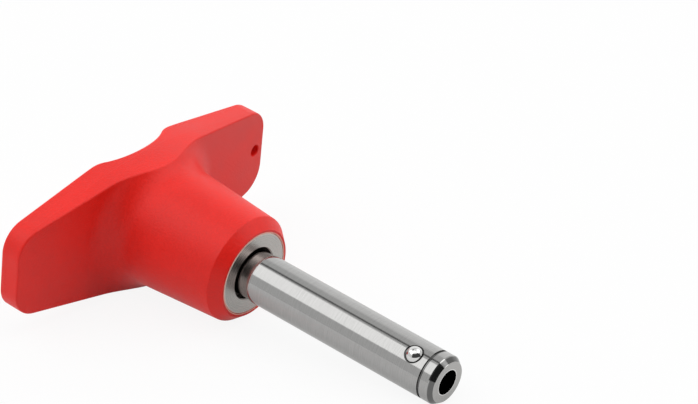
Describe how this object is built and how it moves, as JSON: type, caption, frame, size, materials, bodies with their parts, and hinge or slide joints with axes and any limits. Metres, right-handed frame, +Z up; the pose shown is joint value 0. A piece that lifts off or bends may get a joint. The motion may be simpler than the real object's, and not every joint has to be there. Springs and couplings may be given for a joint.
{
  "type": "ball lock pin",
  "caption": "T-handle ball lock pin: pressing the button in the handle frees the locking balls near the tip, so the pin slides through and locks behind a hole.",
  "frame": {"origin": "middle of the underside of the pin as it lies on a table", "axes": "+X along the pin's length towards its tip, +Y along the handle towards the lanyard hole, +Z up from the table"},
  "size_m": [0.0824, 0.07, 0.028],
  "materials": {
    "red_plastic": "fine matte moulded texture",
    "ground_steel": "ground stainless steel with a dull relieved neck",
    "turned_steel": "fine turned stainless steel",
    "ball_steel": "polished",
    "spring_steel": "drawn wire"
  },
  "bodies": {
    "body": {"grip": "red_plastic", "core_sleeve": "turned_steel", "button_ring": "turned_steel", "shank": "ground_steel", "return_spring": "spring_steel"},
    "plunger": {"push_button": "turned_steel", "spindle": "ground_steel"},
    "first_ball": {"ball_1": "ball_steel"},
    "second_ball": {"ball_2": "ball_steel"}
  },
  "joints": [
    {"name": "button_slide", "type": "slide", "parent": "body", "child": "plunger", "axis": [0.9924, 0, -0.1227], "range_m": [0, 0.005], "stiffness_N_per_m": 1500, "springref_m": -0.006, "deforming": ["return_spring"]},
    {"name": "first_ball_slide", "type": "slide", "parent": "body", "child": "first_ball", "axis": [0.1063, -0.5, 0.8595], "range_m": [0, 0.00108]},
    {"name": "second_ball_slide", "type": "slide", "parent": "body", "child": "second_ball", "axis": [-0.1063, 0.5, -0.8595], "range_m": [0, 0.00108]}
  ],
  "couplings": [
    {"joint": "first_ball_slide", "follows": "button_slide", "ratio": 0.216},
    {"joint": "second_ball_slide", "follows": "button_slide", "ratio": 0.216}
  ]
}
